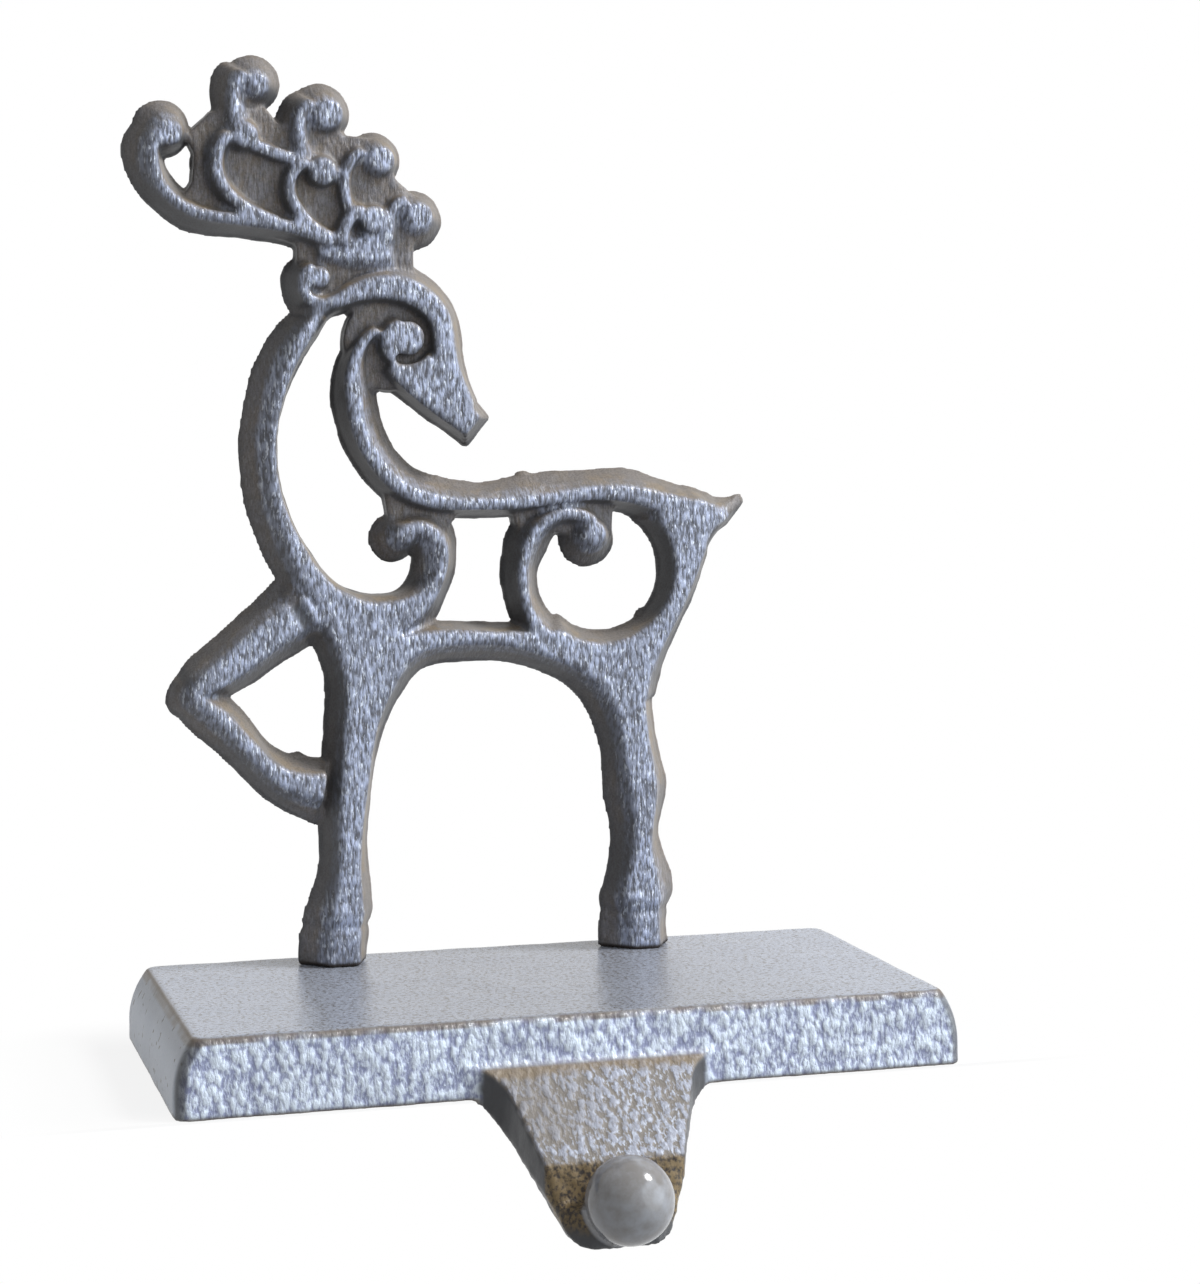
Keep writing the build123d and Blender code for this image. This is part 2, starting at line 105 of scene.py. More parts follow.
# Partly painted reflection of the pale surroundings on the top
TOP_SHEEN_GREY = (0.440, 0.475, 0.560, 1.0)
TOP_SPECK = (0.160, 0.150, 0.145, 1.0)
# Partly painted light on the ends
END_LIT_GREY = (0.465, 0.515, 0.60, 1.0)
BALL_GREY = (0.420, 0.435, 0.475, 1.0)
BALL_BROWN = (0.255, 0.240, 0.230, 1.0)
ZINC_DARK = (0.42, 0.42, 0.41, 1.0)
ZINC_LIGHT = (0.58, 0.58, 0.57, 1.0)

# Shelf, light and camera
WHITE = (1.0, 1.0, 1.0, 1.0)
SHELF_WHITE = (0.95, 0.95, 0.95, 1.0)
SHELF_LOW = (-0.9, -0.0318, -0.02)
SHELF_HIGH = (0.9, 0.9, 0.0)
SHADE_HALF_SIZE = (72 * MM, 20 * MM, 10 * MM)
SHADE_FADE = 30 * MM
SKY_LIGHT = 0.22
LAMP_AIM = (0.0, 0.0, 0.07)
CAMERA_AIM = (0.012162065, 0.0, 0.0748431756)
CAMERA_AZIMUTH = -0.29117907556
CAMERA_ELEVATION = 0.0853221128
CAMERA_DISTANCE = 0.49204011780
CAMERA_LENS = 75.70

scene = bpy.context.scene
scene.view_settings.view_transform = "Standard"


class Nodes:
    """Adds nodes to one tree and links them. A value is a socket, a number, a vector or a colour."""

    def __init__(self, tree):
        self.tree = tree

    def add(self, kind, inputs=None, **settings):
        node = self.tree.nodes.new(kind)
        for name, value in settings.items():
            setattr(node, name, value)
        for key, value in (inputs or {}).items():
            self.put(value, node.inputs[key])
        return node

    def put(self, value, socket):
        if isinstance(value, bpy.types.NodeSocket):
            self.tree.links.new(value, socket)
        else:
            socket.default_value = value

    def math(self, operation, a, b=0.0):
        return self.add("ShaderNodeMath", {0: a, 1: b}, operation=operation).outputs[0]

    def plus(self, a, b):
        return self.math("ADD", a, b)

    def minus(self, a, b):
        return self.math("SUBTRACT", a, b)

    def times(self, value, *others):
        for other in others:
            value = self.math("MULTIPLY", value, other)
        return value

    def most(self, value, *others):
        for other in others:
            value = self.math("MAXIMUM", value, other)
        return value

    def amount(self, value):
        return self.math("ABSOLUTE", value)

    def vector(self, operation, a, b=(0.0, 0.0, 0.0)):
        return self.add("ShaderNodeVectorMath", {0: a, 1: b}, operation=operation).outputs["Vector"]

    def scaled(self, a, factor):
        return self.add("ShaderNodeVectorMath", {0: a, "Scale": factor}, operation="SCALE").outputs["Vector"]

    def distance(self, a, b):
        return self.add("ShaderNodeVectorMath", {0: a, 1: b}, operation="DISTANCE").outputs["Value"]

    def dot(self, a, b):
        return self.add("ShaderNodeVectorMath", {0: a, 1: b}, operation="DOT_PRODUCT").outputs["Value"]

    def axis(self, vector, name):
        return self.add("ShaderNodeSeparateXYZ", {0: vector}).outputs[name]

    def ramp(self, value, low, high, to_low=0.0, to_high=1.0):
        return self.add(
            "ShaderNodeMapRange",
            {"Value": value, "From Min": low, "From Max": high, "To Min": to_low, "To Max": to_high},
            interpolation_type="SMOOTHSTEP",
        ).outputs[0]

    def blend(self, factor, a, b):
        return self.add("ShaderNodeMix", {0: factor, 6: a, 7: b}, data_type="RGBA").outputs[2]

    def noise(self, position, width, detail=2.0):
        return self.add(
            "ShaderNodeTexNoise", {"Vector": position, "Scale": 1.0 / width, "Detail": detail, "Roughness": 0.55}
        ).outputs[0]


def pebbles(nodes, position, width):
    """Height from 0 to 1 of rounded pebbles that are taller than wide."""
    place = nodes.scaled(position, nodes.math("DIVIDE", 1.0, width))
    warp = nodes.add("ShaderNodeTexNoise", {"Vector": place, "Scale": 0.45, "Detail": 2.0}).outputs["Color"]
    place = nodes.vector("ADD", place, nodes.vector("SUBTRACT", warp, (0.5, 0.5, 0.5)))
    place = nodes.vector("MULTIPLY", place, (1.0, 1.0 / PEBBLE_STRETCH, 1.0 / PEBBLE_STRETCH))
    cells = nodes.add(
        "ShaderNodeTexVoronoi",
        {"Vector": place, "Scale": 1.0, "Smoothness": 0.25, "Randomness": 0.95},
        feature="SMOOTH_F1",
    )
    return nodes.ramp(cells.outputs["Distance"], 0.1, 0.8, 1.0, 0.0)


def streaks(nodes, position, width, stretch):
    """Broken upright streaks from 0 to 1, as on rubbed metal."""
    place = nodes.vector("MULTIPLY", position, (1.0, 1.0 / stretch, 1.0 / stretch))
    return nodes.ramp(nodes.noise(place, width, detail=3.0), 0.3, 0.72)


def casting_skin():
    """Geometry nodes for the uneven, pebbled skin of a sand casting with a rough parting line."""
    tree = bpy.data.node_groups.new("casting_skin", "GeometryNodeTree")
    tree.is_modifier = True
    sockets = tree.interface
    sockets.new_socket("Geometry", in_out="INPUT", socket_type="NodeSocketGeometry")
    for name in ("Pebble Width", "Pebble Height", "Swell Width", "Swell Height", "Smooth Radius",
                 "Parting Y", "Parting Height", "Hoof Depth"):
        sockets.new_socket(name, in_out="INPUT", socket_type="NodeSocketFloat")
    for name in ("Smooth Place", "Seed Place"):
        sockets.new_socket(name, in_out="INPUT", socket_type="NodeSocketVector")
    sockets.new_socket("Finish", in_out="INPUT", socket_type="NodeSocketMaterial")
    sockets.new_socket("Geometry", in_out="OUTPUT", socket_type="NodeSocketGeometry")

    nodes = Nodes(tree)
    given = nodes.add("NodeGroupInput").outputs
    position = nodes.add("GeometryNodeInputPosition").outputs[0]
    normal = nodes.add("GeometryNodeInputNormal").outputs[0]
    flat = nodes.vector("MULTIPLY", position, (1.0, 0.0, 1.0))
    from_ball = nodes.distance(position, given["Smooth Place"])

    def blurred(value):
        return nodes.add("GeometryNodeBlurAttribute", {"Value": value, "Iterations": MASK_ROUNDS}).outputs[0]

    # Which way the surface looks
    facing = nodes.amount(nodes.axis(normal, "Y"))
    front = blurred(nodes.ramp(facing, 0.4, 0.9))
    upward = blurred(nodes.axis(normal, "Z"))
    sideways = blurred(nodes.axis(normal, "X"))

    # A slow swell, and pebbles that are strongest on the front and on the tongue
    seeded = nodes.vector("ADD", position, given["Seed Place"])
    swell_scale = nodes.math("DIVIDE", 1.0, given["Swell Width"])
    swell = nodes.add("ShaderNodeTexNoise", {"Vector": seeded, "Scale": swell_scale, "Detail": 2.0}).outputs[0]
    swell = nodes.times(nodes.minus(swell, 0.5), given["Swell Height"])
    away = nodes.ramp(nodes.minus(from_ball, given["Smooth Radius"]), 0.2 * MM, 1.2 * MM)
    hook = nodes.ramp(nodes.axis(position, "Y"), BASE_FRONT - 1.5 * MM, BASE_FRONT - 0.3 * MM, 0.9, 0.0)
    weight = nodes.times(
        nodes.most(nodes.ramp(front, 0.0, 1.0, 0.1, 1.0), hook),
        away,
        nodes.most(nodes.ramp(upward, 0.5, 0.85, 1.0, 0.1), hook),
        nodes.ramp(nodes.amount(sideways), 0.75, 0.95, 1.0, 0.4),
    )
    pebble = pebbles(nodes, position, given["Pebble Width"])
    lift = nodes.times(nodes.minus(pebble, 0.5), given["Pebble Height"], weight)
    lift = nodes.plus(lift, nodes.times(swell, away))

    # The parting line with its burrs
    from_parting = nodes.amount(nodes.minus(nodes.axis(position, "Y"), given["Parting Y"]))
    parting = nodes.ramp(from_parting, 0.0, PARTING_REACH, 1.0, 0.0)
    parting = nodes.times(parting, nodes.ramp(facing, 0.3, 0.7, 1.0, 0.0))
    flash = nodes.ramp(nodes.noise(seeded, FLASH_WIDTH, detail=3.0), 0.3, 0.72, 0.25, 1.0)
    flash = nodes.times(flash, given["Parting Height"])
    for x, z in BURRS:
        burr = nodes.add("ShaderNodeCombineXYZ", {0: x, 1: given["Parting Y"], 2: z}).outputs[0]
        from_burr = nodes.distance(position, burr)
        flash = nodes.plus(flash, nodes.ramp(from_burr, 0.4 * MM, 1.8 * MM, BURR_HEIGHT, 0.0))
    lift = nodes.plus(lift, nodes.times(parting, flash))

    # The crease above each standing hoof, and the swelling of the fetlock above it
    height = nodes.axis(position, "Z")
    crease = nodes.ramp(nodes.amount(nodes.minus(height, HOOF_CREASE)), 0.0, CREASE_REACH, -1.0, 0.0)
    swelling = nodes.ramp(nodes.amount(nodes.minus(height, FETLOCK)), 0.0, FETLOCK_REACH, 1.0, 0.0)
    lift = nodes.plus(lift, nodes.times(nodes.plus(crease, swelling), given["Hoof Depth"]))

    # The groove between the raised leg and the chest, with painted shade in it as less rubbed silver
    start, end = (Vector((x, 0.0, z)) for x, z in THIGH_GROOVE)
    run = end - start
    share = nodes.dot(nodes.vector("SUBTRACT", flat, start), run / run.length_squared)
    share = nodes.add("ShaderNodeClamp", {0: share}).outputs[0]
    nearest = nodes.vector("ADD", nodes.scaled(run, share), start)
    groove = nodes.ramp(nodes.distance(flat, nearest), 0.5 * MM, 2.0 * MM, 1.0, 0.0)
    groove = nodes.times(groove, front)
    lift = nodes.minus(lift, nodes.times(groove, GROOVE_DEPTH))
    # Painted shade: the front is lowered along the groove so it gets less silver
    front = nodes.times(front, nodes.ramp(groove, 0.0, 1.0, 1.0, 0.15))

    # Softer joints
    blur = nodes.add("GeometryNodeBlurAttribute", data_type="FLOAT_VECTOR")
    nodes.put(position, next(socket for socket in blur.inputs if socket.enabled and socket.name == "Value"))
    blur.inputs["Iterations"].default_value = SOFT_ROUNDS
    softened = next(socket for socket in blur.outputs if socket.enabled)
    joint = 0.0
    for x, z, near, far in SOFT_JOINTS:
        joint = nodes.most(joint, nodes.ramp(nodes.distance(flat, (x, 0.0, z)), near, far, 1.0, 0.0))
    eased = nodes.scaled(nodes.vector("SUBTRACT", softened, position), joint)

    # The ball is drawn to a true sphere
    outward = nodes.vector("NORMALIZE", nodes.vector("SUBTRACT", position, given["Smooth Place"]))
    gap = nodes.minus(given["Smooth Radius"], from_ball)
    gap = nodes.times(gap, nodes.ramp(nodes.amount(gap), 0.3 * MM, 0.6 * MM, 1.0, 0.0))

    offset = nodes.vector("ADD", nodes.scaled(normal, lift), nodes.scaled(outward, gap))
    offset = nodes.vector("ADD", offset, eased)
    geometry = given["Geometry"]
    for name, value in (("front", front), ("upward", upward), ("sideways", sideways)):
        geometry = nodes.add(
            "GeometryNodeStoreNamedAttribute", {"Geometry": geometry, "Name": name, "Value": value},
            data_type="FLOAT", domain="POINT",
        ).outputs[0]
    geometry = nodes.add("GeometryNodeSetPosition", {"Geometry": geometry, "Offset": offset}).outputs[0]
    geometry = nodes.add("GeometryNodeSetShadeSmooth", {0: geometry}).outputs[0]
    geometry = nodes.add("GeometryNodeRealizeInstances", {0: geometry}).outputs[0]
    geometry = nodes.add("GeometryNodeSetMaterial", {"Geometry": geometry, "Material": given["Finish"]}).outputs[0]
    nodes.put(geometry, nodes.add("NodeGroupOutput").inputs[0])
    return tree


def cast_piece(name, node, voxel, skin, inputs):
    """A casting with soft edges and an uneven skin, made from the solid of one node."""
    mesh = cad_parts[node].data.copy()
    merged = bmesh.new()
    merged.from_mesh(mesh)
    bmesh.ops.remove_doubles(merged, verts=merged.verts, dist=MERGE_DISTANCE)
    merged.to_mesh(mesh)
    merged.free()
    solid = bpy.data.objects.new(name + "_solid", mesh)
    rough = bpy.data.objects.new(name + "_rough", mesh)
    scene.collection.objects.link(solid)
    scene.collection.objects.link(rough)
    grid = rough.modifiers.new("grid", "REMESH")
    grid.mode = "VOXEL"
    grid.voxel_size = voxel
    even = rough.modifiers.new("even", "SMOOTH")
    even.factor = 0.5
    even.iterations = EVEN_ROUNDS
    fit = rough.modifiers.new("fit", "SHRINKWRAP")
    fit.target = solid
    fit.wrap_method = "NEAREST_SURFACEPOINT"
    soften = rough.modifiers.new("soften", "SMOOTH")
    soften.factor = 0.5
    soften.iterations = SOFTEN_ROUNDS
    dress = rough.modifiers.new("dress", "NODES")
    dress.node_group = skin
    for item in skin.interface.items_tree:
        if item.in_out == "INPUT" and item.name in inputs:
            dress[item.identifier] = inputs[item.name]
    depsgraph = bpy.context.evaluated_depsgraph_get()
    finished = bpy.data.meshes.new_from_object(rough.evaluated_get(depsgraph), depsgraph=depsgraph)
    bpy.data.objects.remove(rough)
    bpy.data.objects.remove(solid)
    piece = bpy.data.objects.new(name, finished)
    scene.collection.objects.link(piece)
    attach(piece, "root")
    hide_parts(node)
    return piece


def empty_finish(name):
    finish = bpy.data.materials.new(name)
    finish.use_nodes = True
    finish.node_tree.nodes.clear()
    nodes = Nodes(finish.node_tree)
    position = nodes.add("ShaderNodeTexCoord").outputs["Object"]
    output = nodes.add("ShaderNodeOutputMaterial").inputs[0]
    return finish, nodes, position, output


def metal_finish(name):
    finish, nodes, position, output = empty_finish(name)
    shader = nodes.add("ShaderNodeBsdfPrincipled")
    nodes.put(shader.outputs[0], output)
    return finish, nodes, position, shader.inputs


def attribute(nodes, name):
    return nodes.add("ShaderNodeAttribute", attribute_name=name).outputs["Fac"]


def bumped(nodes, height, depth, normal=None):
    inputs = {"Height": height, "Distance": depth, "Strength": 1.0}
    if normal is not None:
        inputs["Normal"] = normal
    return nodes.add("ShaderNodeBump", inputs).outputs[0]


def figure_finish():
    """Dark lacquer, lighter and browner on upper slopes from dust and painted light, with the front of the ridges
    rubbed silver, partly painted reflection, with painted glints.
    """
    finish, nodes, position, shader = metal_finish("figure_lacquer")
    front = attribute(nodes, "front")
    upward = attribute(nodes, "upward")
    sideways = attribute(nodes, "sideways")
    pebble = pebbles(nodes, position, FIGURE_PEBBLE)
    streak = streaks(nodes, position, width=0.38 * MM, stretch=4.6)
    patch = nodes.noise(position, width=6 * MM)
    grain = nodes.noise(position, width=0.4 * MM, detail=3.0)

    # Lacquer, lighter and browner on upper and right-facing slopes, partly dust and partly painted light from
    # above and the right, and dusty between the ridges
    depth = nodes.amount(nodes.minus(nodes.axis(position, "Y"), FIGURE_MIDDLE))
    ridge = nodes.ramp(depth, 2.2 * MM, 4.0 * MM)
    # Painted light: slopes that face up and to the right, toward the lamps, get the lighter coat
    toward_light = nodes.plus(upward, nodes.times(sideways, 0.6))
    lit_upper = nodes.ramp(nodes.plus(toward_light, nodes.times(patch, 0.3)), 0.2, 0.8)
    floor = nodes.times(front, nodes.minus(1.0, ridge))
    dust_and_light = nodes.most(lit_upper, floor)
    colour = nodes.blend(dust_and_light, COAT, LIT_UPPER_COAT)
    tint = nodes.ramp(nodes.noise(position, width=4 * MM, detail=3.0), 0.42, 0.62, 0.0, 0.6)
    near_front = nodes.ramp(depth, 1.0 * MM, 3.5 * MM, 0.25, 1.0)
    colour = nodes.blend(nodes.times(tint, dust_and_light, near_front), colour, RECESS_GOLD)
    colour = nodes.blend(nodes.ramp(grain, 0.35, 0.6, 0.35, 0.0), colour, PIT_AND_SHADE_BROWN)

    # Rubbed silver that is partly painted reflection of the light in front, with painted glints, and painted shade
    # in the gap under the hooves
    tone = nodes.plus(nodes.times(pebble, 0.3), nodes.times(streak, 0.7))
    tone = nodes.times(nodes.ramp(tone, 0.0, 0.9), nodes.ramp(patch, 0.3, 0.65, 0.7, 1.1))
    aside = nodes.vector("ADD", position, (0.05, 0.0, 0.0))
    painted_glint = nodes.ramp(streaks(nodes, aside, width=0.42 * MM, stretch=4.0), 0.72, 0.95)
    silver = nodes.blend(painted_glint, nodes.blend(tone, FIGURE_GAP, FIGURE_SILVER), GLINT)
    rubbed_and_lit = nodes.times(front, nodes.ramp(ridge, 0.0, 1.0, 0.18, 1.0))
    colour = nodes.blend(rubbed_and_lit, colour, silver)
    # Painted shade in the gap where the hooves meet the base
    hoof_gap_shade = nodes.ramp(nodes.axis(position, "Z"), BASE_TOP + 0.4 * MM, BASE_TOP + 1.1 * MM, 1.0, 0.0)
    colour = nodes.blend(hoof_gap_shade, colour, PIT_AND_SHADE_BROWN)

    shine = nodes.times(rubbed_and_lit, nodes.most(tone, painted_glint))
    nodes.put(colour, shader["Base Color"])
    nodes.put(nodes.ramp(grain, 0.2, 0.8, 0.3, 0.46), shader["Roughness"])
    nodes.put(nodes.ramp(shine, 0.0, 1.0, 0.0, 0.25), shader["Metallic"])
    nodes.put(nodes.ramp(shine, 0.0, 1.0, 0.22, 0.6), shader["Specular IOR Level"])

    normal = bumped(nodes, nodes.times(pebble, front), depth=0.1 * MM)
    normal = bumped(nodes, nodes.times(streak, front), depth=0.07 * MM, normal=normal)
    nodes.put(bumped(nodes, grain, depth=0.03 * MM, normal=normal), shader["Normal"])
    return finish


def base_finish():
    """The same lacquer, with a sandy smooth top, pitted ends, a pebbled front and a satin ball, and painted light,
    shade, reflection and glints on them.
    """
    finish, nodes, position, shader = metal_finish("base_lacquer")
    front = attribute(nodes, "front")
    upward = attribute(nodes, "upward")
    sideways = nodes.amount(attribute(nodes, "sideways"))
    pebble = pebbles(nodes, position, BASE_PEBBLE)
    streak = streaks(nodes, position, width=0.5 * MM, stretch=2.2)
    patch = nodes.noise(position, width=9 * MM)
    grain = nodes.noise(position, width=0.45 * MM, detail=3.0)
    sand = nodes.noise(position, width=0.75 * MM, detail=4.0)

    # Where the block, its outer faces, the hook and the ball are
    height = nodes.axis(position, "Z")
    along = nodes.amount(nodes.axis(position, "X"))
    across = nodes.amount(nodes.axis(position, "Y"))
    ahead = nodes.minus(BASE_FRONT, nodes.axis(position, "Y"))
    block = nodes.ramp(ahead, 0.2 * MM, 1.0 * MM, 1.0, 0.0)
    hook = nodes.minus(1.0, block)
    outside = nodes.most(
        nodes.ramp(across, HOLLOW_HALF_DEPTH, HOLLOW_HALF_DEPTH + 1 * MM),
        nodes.ramp(along, HOLLOW_HALF_LENGTH, HOLLOW_HALF_LENGTH + 1 * MM),
    )
    shell = nodes.times(block, outside)
    from_ball = nodes.distance(position, BALL_PLACE)
    ball = nodes.ramp(from_ball, BALL_RADIUS + 0.3 * MM, BALL_RADIUS + 1.0 * MM, 1.0, 0.0)
    top = nodes.ramp(height, BASE_TOP - 1.6 * MM, BASE_TOP - 0.8 * MM)
    top = nodes.times(nodes.ramp(upward, 0.8, 0.97), top)
    end = nodes.times(nodes.ramp(sideways, 0.55, 0.85), shell)

    # Rubbed silver on the front, partly painted reflection of the light in front
    # Lighter coat on upward faces: partly dust, partly painted light from above
    colour = nodes.blend(nodes.ramp(upward, 0.15, 0.6), COAT, LIT_UPPER_COAT)
    tone = nodes.plus(nodes.times(pebble, 0.5), nodes.times(streak, 0.5))
    tone = nodes.ramp(tone, 0.0, 0.7)
    face = nodes.times(front, shell, nodes.ramp(patch, 0.25, 0.7, 0.85, 1.0))
    colour = nodes.blend(face, colour, nodes.blend(tone, BASE_GAP, BASE_SILVER))

    # The dusty tongue, its silver painted lighter towards the right where the light falls, with painted glints,
    # and a golden band along its root
    slope = nodes.times(hook, nodes.ramp(upward, 0.25, 0.6))
    band = nodes.ramp(nodes.plus(ahead, nodes.times(patch, 3 * MM)), 2.8 * MM, 4.6 * MM, 0.8, 0.0)
    bare_and_lit = nodes.plus(nodes.ramp(nodes.axis(position, "X"), -12 * MM, 10 * MM, 0.45, 1.0), patch)
    bare_and_lit = nodes.plus(bare_and_lit, nodes.ramp(ahead, 11 * MM, 15 * MM, -0.4, 0.0))
    dust_silver_and_light = nodes.blend(nodes.times(nodes.ramp(tone, 0.3, 1.0), bare_and_lit), TONGUE_GAP, TONGUE_SILVER)
    painted_glint = nodes.times(nodes.ramp(streak, 0.6, 1.0, 0.0, 0.6), nodes.ramp(bare_and_lit, 0.4, 1.3))
    dust_silver_and_light = nodes.blend(painted_glint, dust_silver_and_light, GLINT)
    colour = nodes.blend(slope, colour, nodes.blend(band, dust_silver_and_light, TONGUE_GOLD))

    # Pitted ends and a sandy top; the pale blue-grey of the ends is partly painted light, that of the top partly
    # painted reflection of the pale surroundings, and the top is painted darker towards its middle as a painted
    # reflection of the figure
    pits = nodes.ramp(nodes.noise(position, width=1.8 * MM, detail=1.0), 0.26, 0.33)
    colour = nodes.blend(end, colour, nodes.blend(pits, PIT_AND_SHADE_BROWN, END_LIT_GREY))
    sand_and_figure_reflection = nodes.minus(nodes.ramp(sand, 0.34, 0.52), nodes.ramp(along, 15 * MM, 62 * MM, 0.26, 0.0))
    colour = nodes.blend(top, colour, nodes.blend(sand_and_figure_reflection, TOP_SPECK, TOP_SHEEN_GREY))

    # Brown along the top's rim, painted shade in brown along the sole, dark lacquer at the upright corners
    rim = nodes.times(
        nodes.ramp(upward, 0.12, 0.35),
        nodes.ramp(upward, 0.75, 0.95, 0.8, 0.0),
        nodes.ramp(height, BASE_TOP - 1.9 * MM, BASE_TOP - 1.2 * MM),
        nodes.ramp(patch, 0.35, 0.55),
    )
    sole_shade = nodes.ramp(height, 0.1 * MM, 0.8 * MM, 0.8, 0.0)
    colour = nodes.blend(nodes.times(nodes.most(sole_shade, rim), block), colour, EDGE_BROWN)
    corner = nodes.times(
        nodes.ramp(sideways, 0.12, 0.4),
        nodes.ramp(sideways, 0.8, 0.97, 0.8, 0.0),
        nodes.ramp(along, 63.5 * MM, 67 * MM),
        block,
        nodes.ramp(upward, 0.3, 0.7, 1.0, 0.0),
    )
    colour = nodes.blend(corner, colour, COAT)

    # The brown seat behind the ball, and the mottled ball, with painted shade that makes it browner and darker
    # towards its top
    seat = nodes.times(nodes.ramp(ahead, 16.8 * MM, 17.6 * MM), nodes.ramp(height, -18 * MM, -15 * MM))
    colour = nodes.blend(seat, colour, nodes.blend(nodes.ramp(sand, 0.35, 0.6), PIT_AND_SHADE_BROWN, SEAT_BROWN))
    top_shade = nodes.ramp(height, BALL_PLACE[2] - 1 * MM, BALL_PLACE[2] + 6 * MM, 0.0, 0.25)
    mottle = nodes.minus(nodes.noise(position, width=2.4 * MM, detail=4.0), top_shade)
    colour = nodes.blend(ball, colour, nodes.blend(nodes.ramp(mottle, 0.1, 0.75), BALL_BROWN, BALL_GREY))

    shine = nodes.times(face, tone)
    dull = nodes.minus(nodes.ramp(grain, 0.2, 0.8, 0.32, 0.46), nodes.times(top, 0.1))
    bright = nodes.most(shine, ball, top, nodes.times(end, 0.6))
    nodes.put(colour, shader["Base Color"])
    nodes.put(nodes.minus(dull, nodes.times(ball, 0.24)), shader["Roughness"])
    nodes.put(nodes.ramp(shine, 0.0, 1.0, 0.0, 0.25), shader["Metallic"])
    nodes.put(nodes.ramp(bright, 0.0, 1.0, 0.22, 0.6), shader["Specular IOR Level"])

    rough = nodes.most(nodes.times(front, block), nodes.times(slope, 0.8))
    rough = nodes.times(rough, nodes.minus(1.0, ball))
    normal = bumped(nodes, nodes.times(pebble, rough), depth=0.14 * MM)
    normal = bumped(nodes, nodes.times(streak, rough), depth=0.08 * MM, normal=normal)
    fine = nodes.times(sand, nodes.minus(nodes.ramp(top, 0.0, 1.0, 1.0, 0.55), ball))
    nodes.put(bumped(nodes, fine, depth=0.06 * MM, normal=normal), shader["Normal"])
    return finish


def screw_finish():
    """Zinc plate with a faint mottle."""
    finish, nodes, position, shader = metal_finish("screw_zinc")
    mottle = nodes.noise(position, width=1.2 * MM, detail=3.0)
    nodes.put(nodes.blend(nodes.ramp(mottle, 0.3, 0.7), ZINC_DARK, ZINC_LIGHT), shader["Base Color"])
    nodes.put(nodes.ramp(mottle, 0.3, 0.7, 0.28, 0.42), shader["Roughness"])
    shader["Metallic"].default_value = 1.0
    return finish


def seen_rays(nodes):
    """1 for the rays of the picture itself and of reflections in it, 0 for light that falls on things."""
    path = nodes.add("ShaderNodeLightPath").outputs
    return nodes.most(path["Is Camera Ray"], path["Is Glossy Ray"], path["Is Transmission Ray"])


def shelf_finish():
    """White that looks white in the picture and takes a soft shadow near the object."""
    finish, nodes, position, output = empty_finish("shelf_white")
    beside = nodes.vector("SUBTRACT", nodes.vector("ABSOLUTE", position), SHADE_HALF_SIZE)
    beside = nodes.vector("MAXIMUM", beside, (0.0, 0.0, 0.0))
    far = nodes.ramp(nodes.distance(beside, (0.0, 0.0, 0.0)), 0.0, SHADE_FADE, 0.86, 1.0)
    below_top = nodes.ramp(nodes.axis(position, "Z"), -0.5 * MM, -0.1 * MM, 1.0, 0.0)
    glowing = nodes.times(seen_rays(nodes), nodes.most(far, below_top))
    matt = nodes.add("ShaderNodeBsdfDiffuse", {"Color": SHELF_WHITE}).outputs[0]
    glow = nodes.add("ShaderNodeEmission", {"Color": WHITE, "Strength": 1.0}).outputs[0]
    nodes.put(nodes.add("ShaderNodeMixShader", {0: glowing, 1: matt, 2: glow}).outputs[0], output)
    return finish


def stage_box(name, low, high, finish):
    mesh = bpy.data.meshes.new(name)
    shape = bmesh.new()
    bmesh.ops.create_cube(shape, size=1.0)
    for vert in shape.verts:
        vert.co = Vector(a + (b - a) * (c + 0.5) for a, b, c in zip(low, high, vert.co))
    shape.to_mesh(mesh)
    shape.free()
    mesh.materials.append(finish)
    piece = bpy.data.objects.new(name, mesh)
    scene.collection.objects.link(piece)


def lamp(name, direction, distance, size, power, colour):
    light = bpy.data.lights.new(name, "AREA")
    light.shape = "DISK"
    light.size = size
    light.energy = power
    light.color = colour
    holder = bpy.data.objects.new(name, light)
    away = Vector(direction).normalized()
    holder.location = Vector(LAMP_AIM) + away * distance
    holder.rotation_euler = away.to_track_quat("Z", "Y").to_euler()
    holder.visible_camera = False
    scene.collection.objects.link(holder)


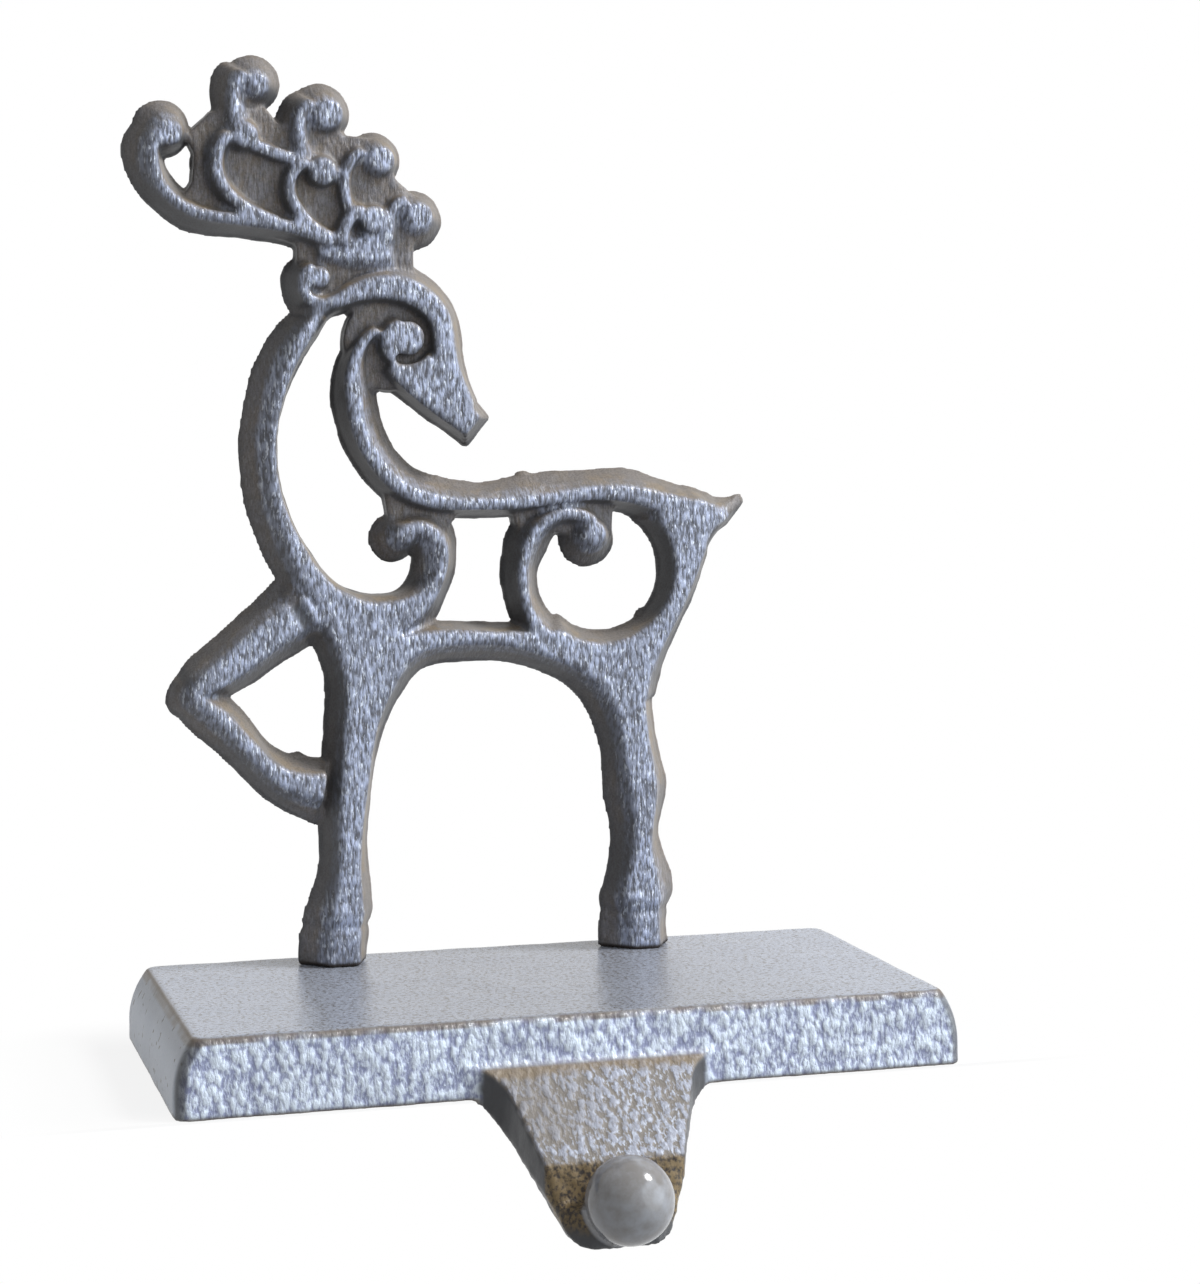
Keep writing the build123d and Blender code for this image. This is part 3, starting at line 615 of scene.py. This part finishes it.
skin = casting_skin()
deer = cast_piece(
    "deer_casting", "deer_figure", DEER_VOXEL, skin,
    {"Pebble Width": FIGURE_PEBBLE, "Pebble Height": 0.1 * MM, "Swell Width": 8 * MM, "Swell Height": 0.5 * MM,
     "Smooth Radius": 0.0, "Smooth Place": (0.0, -1.0, 0.0), "Seed Place": (0.013, 0.0, 0.0),
     "Parting Y": FIGURE_MIDDLE, "Parting Height": 0.4 * MM, "Hoof Depth": 0.3 * MM, "Finish": figure_finish()},
)
base = cast_piece(
    "base_casting", "base_with_hook", BASE_VOXEL, skin,
    {"Pebble Width": BASE_PEBBLE, "Pebble Height": 0.24 * MM, "Swell Width": 14 * MM, "Swell Height": 0.4 * MM,
     "Smooth Radius": BALL_RADIUS, "Smooth Place": BALL_PLACE, "Seed Place": (0.0, 0.031, 0.0),
     "Parting Y": 0.0, "Parting Height": 0.0, "Hoof Depth": 0.0, "Finish": base_finish()},
)
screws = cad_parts["figure_screws"]
screws.data.materials.clear()
screws.data.materials.append(screw_finish())

stage_box("shelf", SHELF_LOW, SHELF_HIGH, shelf_finish())

world = bpy.data.worlds.new("studio")
world.use_nodes = True
nodes = Nodes(world.node_tree)
sky = world.node_tree.nodes["Background"].inputs
sky["Color"].default_value = WHITE
nodes.put(nodes.ramp(seen_rays(nodes), 0.0, 1.0, SKY_LIGHT, 1.0), sky["Strength"])
scene.world = world
lamp("key_lamp", direction=(0.64, -0.2, 0.74), distance=0.9, size=0.25, power=6.5, colour=(1.0, 1.0, 1.0))
lamp("side_lamp", direction=(0.75, -0.62, 0.25), distance=1.5, size=1.8, power=14.3, colour=(0.86, 0.93, 1.0))

camera = bpy.data.cameras.new("camera")
camera.lens = CAMERA_LENS
camera.sensor_width = 36.0
holder = bpy.data.objects.new("camera", camera)
level = math.cos(CAMERA_ELEVATION)
back = Vector((
    math.sin(CAMERA_AZIMUTH) * level,
    -math.cos(CAMERA_AZIMUTH) * level,
    math.sin(CAMERA_ELEVATION),
))
holder.location = Vector(CAMERA_AIM) + back * CAMERA_DISTANCE
holder.rotation_euler = back.to_track_quat("Z", "Y").to_euler()
scene.collection.objects.link(holder)
scene.camera = holder
